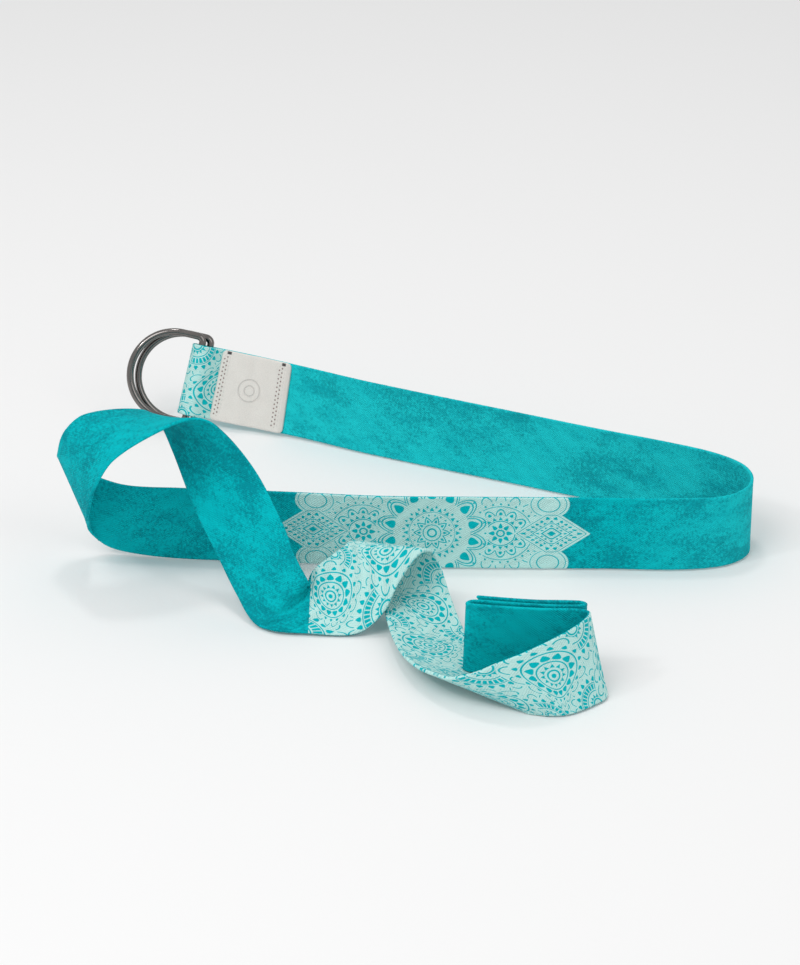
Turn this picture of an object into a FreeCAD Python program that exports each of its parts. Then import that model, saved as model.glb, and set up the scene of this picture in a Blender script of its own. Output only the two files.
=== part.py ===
"""Stretching strap: 38 mm webbing with two D-rings sewn into one end, laid out with its tail loosely rolled.

Millimetres. +X runs to the right along the strap's front run, +Y away from the front, +Z up.
The origin is on the floor, under the centre of the footprint.
"""
import FreeCAD, Part
import math
import os

# ---- driving dimensions -------------------------------------------------------------------------
WEBBING_WIDTH = 38.0
WEBBING_THICKNESS = 1.5
WIRE_DIAMETER = 3.8          # D-ring wire
RING_INSIDE_WIDTH = 42.6     # across the D, between its straight sides
RING_ARC_CENTRE = 10.9       # from the bar's axis to the centre of the D's round side
RING_CORNER_RADIUS = 3.0     # at the wire's axis
RING_TILT = 22.0             # degrees that the rings lean forward out of the webbing's plane
RING_GAP = 0.06              # between the two rings' wires, where they lie on each other
RING_STAGGER = 4.3           # how far the back ring sits behind the front one, in their own plane
BAR_CLEARANCE = 0.3          # between a ring's bar and the webbing round it
PATCH_LENGTH = 41.0
PATCH_WIDTH = 38.0
PATCH_THICKNESS = 1.2
PATCH_CORNER = 2.5
PATCH_START = 16.0           # from the loop's outside end to the patch
FOLDED_END = 30.0            # where the folded-over end of the webbing is cut, under the patch
LAYER_GAP = 0.1              # between layers that lie flat on each other
STITCH_PITCH = 2.3
STITCH_LENGTH = 1.6
STITCH_RADIUS = 0.35
STITCHES_PER_COLUMN = 14
COLUMN_SPACING = 1.6         # between the two columns of a double row
COLUMN_INSET = 3.4           # from the patch's end to its nearer column
BAR_TACK = (3.2, 1.6, 0.7)   # along, across and above the patch
TACK_INSET = 1.2             # from the patch's edge to the middle of a bar tack
SAMPLE_STEP = 4.0            # spacing of the sections along the webbing's long runs
SECTIONS_PER_FACE = 8

WIRE_RADIUS = WIRE_DIAMETER / 2
RING_HALF_WIDTH = (RING_INSIDE_WIDTH + WIRE_DIAMETER) / 2
HALF_THICKNESS = WEBBING_THICKNESS / 2

# The route of the webbing after its loop, as pairs of points on its two edges:
# x, y, z of the first edge, then x, y, z of the second.
ROUTE = [
    # back run, standing on its first edge and leaning back at the rings
    (-110.7, 172.3, 4.1, -102, 185.5, 38.9), (-85, 163.5, 2.5, -78, 174.5, 38.3), (-53, 151, 1, -48, 158, 38),
    (-16, 132, 0, -14, 138, 38), (61, 94, 0, 63, 98, 38), (98, 76, 0, 100, 79, 38),
    # right-hand turn
    (131, 63, 0, 131, 64, 38), (154, 51, 0, 154, 51, 38), (167, 38, 0, 167, 38, 38),
    (171, 25, 0, 171, 25, 38), (168, 11, 0, 168, 11, 38), (156, 1, 0, 156, 0, 38),
    # front run
    (134, -3, 0, 134, -3, 38), (101, -2, 0, 101, -2, 38), (26, -1, 0, 26, -1, 38),
    (-11, 1, 0, -11, 0, 38), (-58, 5, 0, -58, 5, 38), (-106, 9, 0, -106, 9, 38),
    # left-hand turn, lifting off the floor
    (-130, 13, 1, -132, 12, 38), (-143, 15, 4, -147, 16, 41), (-150, 11, 13, -158, 16, 48),
    (-149, -6, 27, -163, 8, 55), (-147, -29, 40, -162.5, -1, 62), (-142, -36.5, 59, -158.5, -4, 74),
    # arch over the front run
    (-132.5, -38, 74.5, -148.5, -3, 82), (-109, -30, 87, -124, 4, 81), (-96, -22, 88, -115, 7, 74),
    (-86, -19, 83, -109, 3, 62), (-69, -20, 62, -98, -14, 39),
    # down in front of it, round on the second edge, and away to the right
    (-55, -40, 43, -85, -32, 19), (-49, -53, 32.5, -77, -46, 9), (-43, -62, 24.5, -68, -61, 1),
    (-42, -55, 19, -58, -69, 1), (-41.5, -51, 21, -45, -71, 1), (-39, -50, 25, -21, -72, 1),
    # small hump
    (-32, -48, 30, -8, -69, 10), (-27, -46, 33, 0, -61, 23), (-24, -43, 34, 9, -55, 34),
    (-21, -37, 31, 15.5, -48, 32), (-18, -36, 23, 19, -45, 23), (-14, -44, 13, 23, -51, 12),
    (-8, -61, 9, 27, -64, 6),
    # slanting turn of the tail, first edge rising
    (-5, -78, 7, 31, -77, 2), (-2, -93, 7, 36, -94, 1), (1, -105, 8, 42, -115, 1),
    (4, -113, 9, 49, -133, 1), (8, -121, 10, 54, -143, 1), (14, -130, 12, 58, -145, 0),
    (22, -138, 14, 62, -146, 0), (33, -144, 20, 66, -147, 0), (44, -147, 27, 71, -147, 0),
    (53, -147, 31, 75, -146, 0), (63, -143, 34, 80, -143, 0), (73, -136, 36, 86, -138, 0),
    (81, -127, 37, 92, -131, 0), (84, -121, 38, 91, -122, 0),
    # flat roll of the tail, to its cut end
    (80, -118, 38, 84, -118, 0), (60, -117, 38, 61, -116, 0), (33, -119, 41, 32, -114, 4),
    (30, -117, 41, 29, -112, 4), (33, -115, 41, 32, -110, 4), (60, -113, 38, 60, -112, 0),
    (80, -114, 38, 80, -113, 0), (83, -112, 38, 83, -111, 0), (80, -110, 38, 80, -109, 0),
    (60, -109, 38, 60, -108, 0), (35, -109, 40, 34, -104, 4),
]


def blend(points, knots, span, part):
    """Point on the smooth curve through the given points, a part of the way along one span."""
    def slope(index):
        before, after = max(index - 1, 0), min(index + 1, len(points) - 1)
        return (points[after] - points[before]) * (1 / (knots[after] - knots[before]))
    length = knots[span + 1] - knots[span]
    square, cube = part * part, part ** 3
    return (points[span] * (2 * cube - 3 * square + 1)
            + slope(span) * (length * (cube - 2 * square + part))
            + points[span + 1] * (3 * square - 2 * cube)
            + slope(span + 1) * (length * (cube - square)))


def sections(first, second, step):
    """Evenly spaced pairs of edge points along a ribbon given by its two edges."""
    knots = [0.0]
    for i in range(1, len(first)):
        stride = ((first[i] - first[i - 1]).Length + (second[i] - second[i - 1]).Length) / 2
        knots.append(knots[-1] + stride)
    pairs = []
    for span in range(len(first) - 1):
        count = max(1, round((knots[span + 1] - knots[span]) / step))
        for k in range(count):
            pairs.append((blend(first, knots, span, k / count), blend(second, knots, span, k / count)))
    return pairs + [(first[-1], second[-1])]


def ribbon(pairs, thickness):
    """Closed solid of even thickness, centred on the surface between pairs of edge points."""
    middles = [(a + b) * 0.5 for a, b in pairs]
    knots = [0.0]
    for i in range(1, len(middles)):
        knots.append(knots[-1] + (middles[i] - middles[i - 1]).Length)
    corners = [[], [], [], []]
    for i, (a, b) in enumerate(pairs):
        along = middles[min(i + 1, len(pairs) - 1)] - middles[max(i - 1, 0)]
        normal = along.cross(b - a).normalize() * (thickness / 2)
        for row, point in zip(corners, (a + normal, b + normal, b - normal, a - normal)):
            row.append(point)
    curves = []
    for row in corners:
        curves.append(Part.BSplineCurve())
        curves[-1].interpolate(Points=row, Parameters=knots)
    sides = []
    breaks = knots[:-1:SECTIONS_PER_FACE] + knots[-1:]
    for start, stop in zip(breaks, breaks[1:]):
        edges = [curve.toShape(start, stop) for curve in curves]
        sides += [Part.makeRuledSurface(edges[k], edges[(k + 1) % 4], 1) for k in range(4)]
    caps = []
    for end in (0, -1):
        outline = [row[end] for row in corners]
        caps.append(Part.Face(Part.makePolygon(outline + outline[:1])))
    shell = Part.makeShell(sides + caps)
    shell.sewShape()
    solid = Part.makeSolid(shell)
    if solid.Volume < 0:
        solid.reverse()
    return solid


ROUTE_FIRST = [FreeCAD.Vector(*row[:3]) for row in ROUTE]
ROUTE_SECOND = [FreeCAD.Vector(*row[3:]) for row in ROUTE]

# ---- the ring end -------------------------------------------------------------------------------
# Seen from the edge, the loop is drawn in two directions: along the strap from the loop's outside
# end, and out of its front face. The back layer lies at a height of 0.
BACK_BAR_HEIGHT = HALF_THICKNESS + BAR_CLEARANCE + WIRE_RADIUS
TILT = math.radians(RING_TILT)
RING_SPACING = WIRE_DIAMETER + RING_GAP
BAR_STEP_ALONG = RING_STAGGER * math.cos(TILT) - RING_SPACING * math.sin(TILT)
BAR_STEP_DOWN = RING_STAGGER * math.sin(TILT) + RING_SPACING * math.cos(TILT)
FRONT_BAR_HEIGHT = BACK_BAR_HEIGHT + BAR_STEP_DOWN
LOOP_HEIGHT = FRONT_BAR_HEIGHT + BACK_BAR_HEIGHT
LOOP_RADIUS = LOOP_HEIGHT / 2
FRONT_BAR_ALONG = LOOP_RADIUS - 0.4
BACK_BAR_ALONG = FRONT_BAR_ALONG + BAR_STEP_ALONG
FOLD_HEIGHT = WEBBING_THICKNESS + LAYER_GAP

ACROSS = (ROUTE_SECOND[0] - ROUTE_FIRST[0]).normalize()
ALONG = ROUTE_FIRST[1] + ROUTE_SECOND[1] - ROUTE_FIRST[0] - ROUTE_SECOND[0]
ALONG = (ALONG - ACROSS * ALONG.dot(ACROSS)).normalize()
OUT = ALONG.cross(ACROSS)
MIDDLE = (ROUTE_FIRST[0] + ROUTE_SECOND[0]) * 0.5
BACK_RUN = sections(ROUTE_FIRST[:5], ROUTE_SECOND[:5], 0.5)


def end_point(along, across, height):
    """Point at the ring end, from its distances along, across and out of the webbing."""
    return MIDDLE + ALONG * (along - LOOP_RADIUS) + ACROSS * across + OUT * height


def back_run_frame(along):
    """Middle of the back layer at a distance from the loop's outside end: point, along, across, out."""
    travelled = LOOP_RADIUS
    for (a, b), (c, d) in zip(BACK_RUN, BACK_RUN[1:]):
        stride = (c + d - a - b) * 0.5
        if travelled + stride.Length >= along:
            break
        travelled += stride.Length
    direction = FreeCAD.Vector(stride).normalize()
    across = (b - a).normalize()
    point = (a + b) * 0.5 + direction * (along - travelled)
    return point, direction, across, direction.cross(across).normalize()


def layer_sections(distances, height, half_width):
    """Pairs of edge points of a layer lying over the back one, from its height and half width."""
    pairs = []
    for along in distances:
        point, _, across, out = back_run_frame(along)
        middle = point + out * height(along)
        pairs.append((middle - across * half_width(along), middle + across * half_width(along)))
    return pairs


def steps(start, stop, size):
    """Evenly spaced distances from start to stop."""
    count = round(abs(stop - start) / size)
    return [start + (stop - start) * k / count for k in range(count + 1)]


def ease(value, start, stop):
    """0 before start, 1 after stop, and a smooth step between."""
    part = min(max((value - start) / (stop - start), 0.0), 1.0)
    return part * part * (3 - 2 * part)


def folded_height(along):
    """Middle of the folded-over layer above the back layer."""
    return LOOP_HEIGHT + (FOLD_HEIGHT - LOOP_HEIGHT) * ease(along, LOOP_RADIUS + 2, PATCH_START - 0.5)


def make_webbing():
    half = WEBBING_WIDTH / 2
    folded = layer_sections(steps(FOLDED_END, LOOP_RADIUS, 1.0), folded_height, lambda along: half)
    turn = []
    for k in range(1, 24):
        angle = math.radians(90 + 180 * k / 24)
        spot = (LOOP_RADIUS + LOOP_RADIUS * math.cos(angle), LOOP_RADIUS + LOOP_RADIUS * math.sin(angle))
        turn.append((end_point(spot[0], -half, spot[1]), end_point(spot[0], half, spot[1])))
    return ribbon(folded + turn + sections(ROUTE_FIRST, ROUTE_SECOND, SAMPLE_STEP), WEBBING_THICKNESS)


def patch_height(along):
    """Middle of the patch, which steps down past the folded-over layer's cut end."""
    stack = WEBBING_THICKNESS + LAYER_GAP
    over_fold = HALF_THICKNESS + stack + LAYER_GAP + PATCH_THICKNESS / 2
    return over_fold - stack * ease(along, FOLDED_END + 0.5, FOLDED_END + 8)


def patch_half_width(along):
    """Half of the patch's width, less where its corners are rounded."""
    inset = min(along - PATCH_START, PATCH_START + PATCH_LENGTH - along)
    if inset >= PATCH_CORNER:
        return PATCH_WIDTH / 2
    rise = PATCH_CORNER - max(inset, 0.0)
    return PATCH_WIDTH / 2 - PATCH_CORNER + math.sqrt(max(PATCH_CORNER ** 2 - rise ** 2, 0.0))


def make_patch():
    distances = steps(PATCH_START, PATCH_START + PATCH_LENGTH, 0.5)
    return ribbon(layer_sections(distances, patch_height, patch_half_width), PATCH_THICKNESS)


def on_patch(along, across):
    """A point on the patch's face, and the directions along and across it."""
    point, direction, side, out = back_run_frame(along)
    height = patch_height(along) + PATCH_THICKNESS / 2
    return point + out * height + side * across, direction, side


def make_stitch_rows(first_column):
    """A double column of short stitches across the patch, the second column half a pitch behind."""
    stitches = []
    for column in range(2):
        along = first_column + column * COLUMN_SPACING
        for k in range(STITCHES_PER_COLUMN):
            across = (k - (STITCHES_PER_COLUMN - 1) / 2) * STITCH_PITCH + (column - 0.5) * STITCH_PITCH / 2
            point, _, side = on_patch(along, across)
            start = point - side * (STITCH_LENGTH / 2)
            stitches.append(Part.makeCylinder(STITCH_RADIUS, STITCH_LENGTH, start, side))
    return Part.makeCompound(stitches)


def make_bar_tacks(columns):
    """A short dense block of thread at the upper end of each double column."""
    tacks = []
    for along in columns:
        point, direction, side = on_patch(along + COLUMN_SPACING / 2, PATCH_WIDTH / 2 - TACK_INSET)
        block = Part.makeBox(*BAR_TACK, FreeCAD.Vector(-BAR_TACK[0] / 2, -BAR_TACK[1] / 2, -BAR_TACK[2] / 2))
        turn = FreeCAD.Rotation(direction, side, direction.cross(side), "XYZ")
        block.Placement = FreeCAD.Placement(point, turn)
        tacks.append(block)
    return Part.makeCompound(tacks)


def make_ring(bar_along, bar_height):
    """D-ring of round wire, with its bar in the webbing's loop and its round side outwards."""
    x, y, z = FreeCAD.Vector(1, 0, 0), FreeCAD.Vector(0, 1, 0), FreeCAD.Vector(0, 0, 1)
    side, corner = RING_HALF_WIDTH, RING_CORNER_RADIUS
    straight = RING_ARC_CENTRE - corner
    pieces = [Part.makeCylinder(WIRE_RADIUS, 2 * (side - corner), FreeCAD.Vector(0, corner - side, 0), y)]
    for sign in (-1, 1):
        pieces.append(Part.makeCylinder(WIRE_RADIUS, straight, FreeCAD.Vector(corner, sign * side, 0), x))
        section = Part.Face(Part.Wire(Part.makeCircle(WIRE_RADIUS, FreeCAD.Vector(corner, sign * side, 0), x)))
        pieces.append(section.revolve(FreeCAD.Vector(corner, sign * (side - corner), 0), z, sign * 90))
    section = Part.Face(Part.Wire(Part.makeCircle(WIRE_RADIUS, FreeCAD.Vector(RING_ARC_CENTRE, side, 0), x)))
    pieces.append(section.revolve(FreeCAD.Vector(RING_ARC_CENTRE, 0, 0), z, -180))
    ring = pieces[0].multiFuse(pieces[1:])
    outwards = ALONG * -math.cos(TILT) + OUT * math.sin(TILT)
    turn = FreeCAD.Rotation(outwards, ACROSS, outwards.cross(ACROSS), "XYZ")
    ring.Placement = FreeCAD.Placement(end_point(bar_along, 0, bar_height), turn)
    return ring


STITCH_COLUMNS = {
    "patch_stitches_ring_side": PATCH_START + COLUMN_INSET,
    "patch_stitches_strap_side": PATCH_START + PATCH_LENGTH - COLUMN_INSET - COLUMN_SPACING,
}

NODES = {
    "webbing": make_webbing(),
    "ring_front": make_ring(FRONT_BAR_ALONG, FRONT_BAR_HEIGHT),
    "ring_back": make_ring(BACK_BAR_ALONG, BACK_BAR_HEIGHT),
    "patch": make_patch(),
    "bar_tacks": make_bar_tacks(STITCH_COLUMNS.values()),
}
for name, first_column in STITCH_COLUMNS.items():
    NODES[name] = make_stitch_rows(first_column)

# Everything moves together, so that the origin is on the floor under the middle of the footprint.
whole = FreeCAD.BoundBox()
for shape in NODES.values():
    whole.add(shape.BoundBox)
ORIGIN = FreeCAD.Vector(whole.Center.x, whole.Center.y, whole.ZMin)

os.makedirs("parts", exist_ok=True)
for name, shape in NODES.items():
    shape.translate(-ORIGIN)
    shape.exportStep(f"parts/{name}.step")
    print(f"{name}: {len(shape.Solids)} solids, valid {shape.isValid()}, volume {shape.Volume:.0f} mm3")
print(f"bounding box {whole.XLength:.1f} by {whole.YLength:.1f} by {whole.ZLength:.1f} mm, "
      f"route's origin at {-ORIGIN.x:.3f}, {-ORIGIN.y:.3f}, {-ORIGIN.z:.3f}")
for name, along, height in (("front", FRONT_BAR_ALONG, FRONT_BAR_HEIGHT),
                            ("back", BACK_BAR_ALONG, BACK_BAR_HEIGHT)):
    spot = end_point(along, 0, height) - ORIGIN
    print(f"{name} bar: {spot.x:.3f}, {spot.y:.3f}, {spot.z:.3f}, "
          f"axis {ACROSS.x:.5f}, {ACROSS.y:.5f}, {ACROSS.z:.5f}")
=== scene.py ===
import math
import bmesh
import bpy
import numpy as np
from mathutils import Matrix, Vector


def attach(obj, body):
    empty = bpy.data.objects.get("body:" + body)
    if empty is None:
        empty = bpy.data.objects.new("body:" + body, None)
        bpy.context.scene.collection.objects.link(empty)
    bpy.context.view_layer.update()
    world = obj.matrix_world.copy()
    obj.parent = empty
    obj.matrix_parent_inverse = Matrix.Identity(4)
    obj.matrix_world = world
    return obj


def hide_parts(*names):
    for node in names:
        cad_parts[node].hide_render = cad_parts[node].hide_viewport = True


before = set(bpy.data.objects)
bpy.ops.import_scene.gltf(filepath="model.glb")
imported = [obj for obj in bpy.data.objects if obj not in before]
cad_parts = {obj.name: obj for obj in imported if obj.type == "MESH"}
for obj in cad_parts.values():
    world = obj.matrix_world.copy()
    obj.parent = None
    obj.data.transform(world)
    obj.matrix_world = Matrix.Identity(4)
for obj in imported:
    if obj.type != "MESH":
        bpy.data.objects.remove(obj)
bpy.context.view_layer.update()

MM = 0.001

# ---- the strap's sizes, in millimetres ----------------------------------------------------------
WEBBING_HALF_WIDTH = 19.0
WEBBING_HALF_THICKNESS = 0.75
SELVAGE_ROUNDING = 0.6
SELVAGE_RIB = 0.1
WIRE_RADIUS = 1.9
RING_INSIDE_WIDTH = 42.6
RING_ARC_CENTRE = 10.9
RING_CORNER_RADIUS = 3.0
RING_TILT = math.radians(22.0)
RING_GAP = 0.06
RING_STAGGER = 4.3
BAR_CLEARANCE = 0.3
PATCH_LENGTH = 41.0
PATCH_HALF_WIDTH = 19.0
PATCH_THICKNESS = 1.2
PATCH_CORNER = 2.5
PATCH_START = 16.0
FOLDED_END = 30.0
LAYER_GAP = 0.1
COLUMN_INSET = 3.4
COLUMN_SPACING = 1.6
STITCH_PITCH = 2.3
STITCHES_PER_COLUMN = 14
TACK_INSET = 1.7
STITCH_LENGTH = 1.5
TACK_THREAD_LENGTH = 2.7
TACK_THREADS = 4
TACK_THREAD_STEP = 0.36
THREAD_RADIUS = 0.26
SELVAGE_TURN_SPACING = 1.15
SELVAGE_TURN_RADIUS = 0.8
SELVAGE_TURN_INSET = 0.75
BAR_SET_BACK = 0.4

# Distances between neighbouring cross-sections, and the parts that the loop's half turn is cut into.
ROUTE_STEP = 1.4
FOLD_STEP = 0.8
PATCH_STEP = 0.4
LOOP_TURN_PARTS = 32

# Where the route below has its origin, in the strap's own frame.
ROUTE_ORIGIN = np.array([-3.865, -19.180, 0.677])

# The route of the webbing after its loop, as pairs of points on its two edges:
# x, y, z of the first edge, then x, y, z of the second.
ROUTE = [
    # back run, standing on its first edge and leaning back at the rings
    (-110.7, 172.3, 4.1, -102, 185.5, 38.9), (-85, 163.5, 2.5, -78, 174.5, 38.3), (-53, 151, 1, -48, 158, 38),
    (-16, 132, 0, -14, 138, 38), (61, 94, 0, 63, 98, 38), (98, 76, 0, 100, 79, 38),
    # right-hand turn
    (131, 63, 0, 131, 64, 38), (154, 51, 0, 154, 51, 38), (167, 38, 0, 167, 38, 38),
    (171, 25, 0, 171, 25, 38), (168, 11, 0, 168, 11, 38), (156, 1, 0, 156, 0, 38),
    # front run
    (134, -3, 0, 134, -3, 38), (101, -2, 0, 101, -2, 38), (26, -1, 0, 26, -1, 38),
    (-11, 1, 0, -11, 0, 38), (-58, 5, 0, -58, 5, 38), (-106, 9, 0, -106, 9, 38),
    # left-hand turn, lifting off the floor
    (-130, 13, 1, -132, 12, 38), (-143, 15, 4, -147, 16, 41), (-150, 11, 13, -158, 16, 48),
    (-149, -6, 27, -163, 8, 55), (-147, -29, 40, -162.5, -1, 62), (-142, -36.5, 59, -158.5, -4, 74),
    # arch over the front run
    (-132.5, -38, 74.5, -148.5, -3, 82), (-109, -30, 87, -124, 4, 81), (-96, -22, 88, -115, 7, 74),
    (-86, -19, 83, -109, 3, 62), (-69, -20, 62, -98, -14, 39),
    # down in front of it, round on the second edge, and away to the right
    (-55, -40, 43, -85, -32, 19), (-49, -53, 32.5, -77, -46, 9), (-43, -62, 24.5, -68, -61, 1),
    (-42, -55, 19, -58, -69, 1), (-41.5, -51, 21, -45, -71, 1), (-39, -50, 25, -21, -72, 1),
    # small hump
    (-32, -48, 30, -8, -69, 10), (-27, -46, 33, 0, -61, 23), (-24, -43, 34, 9, -55, 34),
    (-21, -37, 31, 15.5, -48, 32), (-18, -36, 23, 19, -45, 23), (-14, -44, 13, 23, -51, 12),
    (-8, -61, 9, 27, -64, 6),
    # slanting turn of the tail, first edge rising
    (-5, -78, 7, 31, -77, 2), (-2, -93, 7, 36, -94, 1), (1, -105, 8, 42, -115, 1),
    (4, -113, 9, 49, -133, 1), (8, -121, 10, 54, -143, 1), (14, -130, 12, 58, -145, 0),
    (22, -138, 14, 62, -146, 0), (33, -144, 20, 66, -147, 0), (44, -147, 27, 71, -147, 0),
    (53, -147, 31, 75, -146, 0), (63, -143, 34, 80, -143, 0), (73, -136, 36, 86, -138, 0),
    (81, -127, 37, 92, -131, 0), (84, -121, 38, 91, -122, 0),
    # flat roll of the tail, to its cut end
    (80, -118, 38, 84, -118, 0), (60, -117, 38, 61, -116, 0), (33, -119, 41, 32, -114, 4),
    (30, -117, 41, 29, -112, 4), (33, -115, 41, 32, -110, 4), (60, -113, 38, 60, -112, 0),
    (80, -114, 38, 80, -113, 0), (83, -112, 38, 83, -111, 0), (80, -110, 38, 80, -109, 0),
    (60, -109, 38, 60, -108, 0), (35, -109, 40, 34, -104, 4),
]


def blend(points, knots, span, part):
    """Point on the smooth curve through the given points, a part of the way along one span."""
    def slope(index):
        before, after = max(index - 1, 0), min(index + 1, len(points) - 1)
        return (points[after] - points[before]) / (knots[after] - knots[before])
    length = knots[span + 1] - knots[span]
    square, cube = part * part, part ** 3
    return (points[span] * (2 * cube - 3 * square + 1)
            + slope(span) * length * (cube - 2 * square + part)
            + points[span + 1] * (3 * square - 2 * cube)
            + slope(span + 1) * length * (cube - square))


def sections(first, second, step):
    """Evenly spaced pairs of edge points along a ribbon given by its two edges."""
    knots = [0.0]
    for i in range(1, len(first)):
        stride = np.linalg.norm(first[i] - first[i - 1]) + np.linalg.norm(second[i] - second[i - 1])
        knots.append(knots[-1] + stride / 2)
    pairs = []
    for span in range(len(first) - 1):
        count = max(1, round((knots[span + 1] - knots[span]) / step))
        for k in range(count):
            pairs.append((blend(first, knots, span, k / count), blend(second, knots, span, k / count)))
    return pairs + [(first[-1], second[-1])]


def unit(vector):
    return vector / np.linalg.norm(vector)


def steps(start, stop, size):
    return np.linspace(start, stop, round(abs(stop - start) / size) + 1)


def ease(value, start, stop):
    """0 before start, 1 after stop, and a smooth step between."""
    part = min(max((value - start) / (stop - start), 0.0), 1.0)
    return part * part * (3 - 2 * part)


ROUTE_FIRST = [np.array(row[:3], float) + ROUTE_ORIGIN for row in ROUTE]
ROUTE_SECOND = [np.array(row[3:], float) + ROUTE_ORIGIN for row in ROUTE]

# ---- the ring end, drawn along the strap from the loop's outside end and out of its front face ----
BACK_BAR_HEIGHT = WEBBING_HALF_THICKNESS + BAR_CLEARANCE + WIRE_RADIUS
RING_SPACING = 2 * WIRE_RADIUS + RING_GAP
BAR_STEP_ALONG = RING_STAGGER * math.cos(RING_TILT) - RING_SPACING * math.sin(RING_TILT)
BAR_STEP_DOWN = RING_STAGGER * math.sin(RING_TILT) + RING_SPACING * math.cos(RING_TILT)
FRONT_BAR_HEIGHT = BACK_BAR_HEIGHT + BAR_STEP_DOWN
LOOP_HEIGHT = FRONT_BAR_HEIGHT + BACK_BAR_HEIGHT
LOOP_RADIUS = LOOP_HEIGHT / 2
FRONT_BAR_ALONG = LOOP_RADIUS - BAR_SET_BACK
BACK_BAR_ALONG = FRONT_BAR_ALONG + BAR_STEP_ALONG
FOLD_HEIGHT = 2 * WEBBING_HALF_THICKNESS + LAYER_GAP

ACROSS = unit(ROUTE_SECOND[0] - ROUTE_FIRST[0])
ALONG = ROUTE_FIRST[1] + ROUTE_SECOND[1] - ROUTE_FIRST[0] - ROUTE_SECOND[0]
ALONG = unit(ALONG - ACROSS * ALONG.dot(ACROSS))
OUT = np.cross(ALONG, ACROSS)
MIDDLE = (ROUTE_FIRST[0] + ROUTE_SECOND[0]) / 2
BACK_RUN = sections(ROUTE_FIRST[:5], ROUTE_SECOND[:5], 0.5)


def end_point(along, across, height):
    """Point at the ring end, from its distances along, across and out of the webbing."""
    return MIDDLE + ALONG * (along - LOOP_RADIUS) + ACROSS * across + OUT * height


def back_run_frame(along):
    """Middle of the back layer at a distance from the loop's outside end: point, along, across, out."""
    travelled = LOOP_RADIUS
    for (a, b), (c, d) in zip(BACK_RUN, BACK_RUN[1:]):
        stride = (c + d - a - b) / 2
        if travelled + np.linalg.norm(stride) >= along:
            break
        travelled += np.linalg.norm(stride)
    direction, across = unit(stride), unit(b - a)
    return (a + b) / 2 + direction * (along - travelled), direction, across, unit(np.cross(direction, across))


def layer_sections(distances, height, half_width):
    """Pairs of edge points of a layer lying over the back one, from its height and half width."""
    pairs = []
    for along in distances:
        point, _, across, out = back_run_frame(along)
        middle = point + out * height(along)
        pairs.append((middle - across * half_width(along), middle + across * half_width(along)))
    return pairs


def folded_height(along):
    """Middle of the folded-over layer above the back layer."""
    return LOOP_HEIGHT + (FOLD_HEIGHT - LOOP_HEIGHT) * ease(along, LOOP_RADIUS + 2, PATCH_START - 0.5)


def patch_height(along):
    """Middle of the patch, which steps down past the folded-over layer's cut end."""
    stack = 2 * WEBBING_HALF_THICKNESS + LAYER_GAP
    over_fold = WEBBING_HALF_THICKNESS + stack + LAYER_GAP + PATCH_THICKNESS / 2
    return over_fold - stack * ease(along, FOLDED_END + 0.5, FOLDED_END + 8)


def patch_half_width(along):
    """Half of the patch's width, less where its corners are rounded."""
    inset = min(along - PATCH_START, PATCH_START + PATCH_LENGTH - along)
    if inset >= PATCH_CORNER:
        return PATCH_HALF_WIDTH
    rise = PATCH_CORNER - max(inset, 0.0)
    return PATCH_HALF_WIDTH - PATCH_CORNER + math.sqrt(max(PATCH_CORNER ** 2 - rise ** 2, 0.0))


# ---- meshes -------------------------------------------------------------------------------------
def write_lay(mesh, lay):
    """Stores where each point is on the flat strap: along, across and face."""
    attribute = mesh.attributes.new("lay", "FLOAT_VECTOR", "POINT")
    attribute.data.foreach_set("vector", np.asarray(lay, np.float32).ravel())


def stride_lengths(points):
    return np.linalg.norm(np.diff(points, axis=0), axis=1)


def new_piece(name, points, faces, material, lay=None):
    """A smooth mesh piece from points in millimetres. Lay says where each point is on the flat strap."""
    mesh = bpy.data.meshes.new(name)
    mesh.from_pydata((np.asarray(points) * MM).tolist(), [], faces)
    mesh.materials.append(material)
    if lay is not None:
        write_lay(mesh, lay)
    mesh.polygons.foreach_set("use_smooth", [True] * len(mesh.polygons))
    piece = bpy.data.objects.new(name, mesh)
    bpy.context.scene.collection.objects.link(piece)
    return piece


def band_piece(name, pairs, start, profile, half_width, material):
    """A closed band from its sections. Profile gives the cross-section, from one edge round to itself:
    its place across from -1 to 1, its height off the middle, and which face it is on."""
    first = np.array([a for a, _ in pairs])
    second = np.array([b for _, b in pairs])
    middle = (first + second) / 2
    strides = (stride_lengths(first) + stride_lengths(second)) / 2
    distance = start + np.concatenate([[0.0], np.cumsum(strides)])
    tangent = np.gradient(middle, axis=0)
    normal = np.cross(tangent, second - first)
    normal /= np.linalg.norm(normal, axis=1)[:, None]
    points, lay = [], []
    for i in range(len(pairs)):
        for place, height, side in profile(i, len(pairs)):
            points.append(middle[i] + (second[i] - first[i]) * place / 2 + normal[i] * height)
            lay.append((distance[i], place * half_width, side))
    ring = len(points) // len(pairs)
    faces = []
    for i in range(len(pairs) - 1):
        for k in range(ring):
            after = (k + 1) % ring
            faces.append((i * ring + k, i * ring + after, (i + 1) * ring + after, (i + 1) * ring + k))
    half = ring // 2
    for base, turned in ((0, False), ((len(pairs) - 1) * ring, True)):
        for k in range(half):
            cap = [base + k, base + (ring - k) % ring, base + (ring - k - 1) % ring, base + k + 1]
            cap = list(dict.fromkeys(cap))
            faces.append(tuple(reversed(cap)) if turned else tuple(cap))
    piece = new_piece(name, points, faces, material, lay)
    recalculate_outwards(piece)
    return piece, distance


def recalculate_outwards(piece):
    work = bmesh.new()
    work.from_mesh(piece.data)
    bmesh.ops.recalc_face_normals(work, faces=work.faces)
    work.to_mesh(piece.data)
    work.free()


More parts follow.
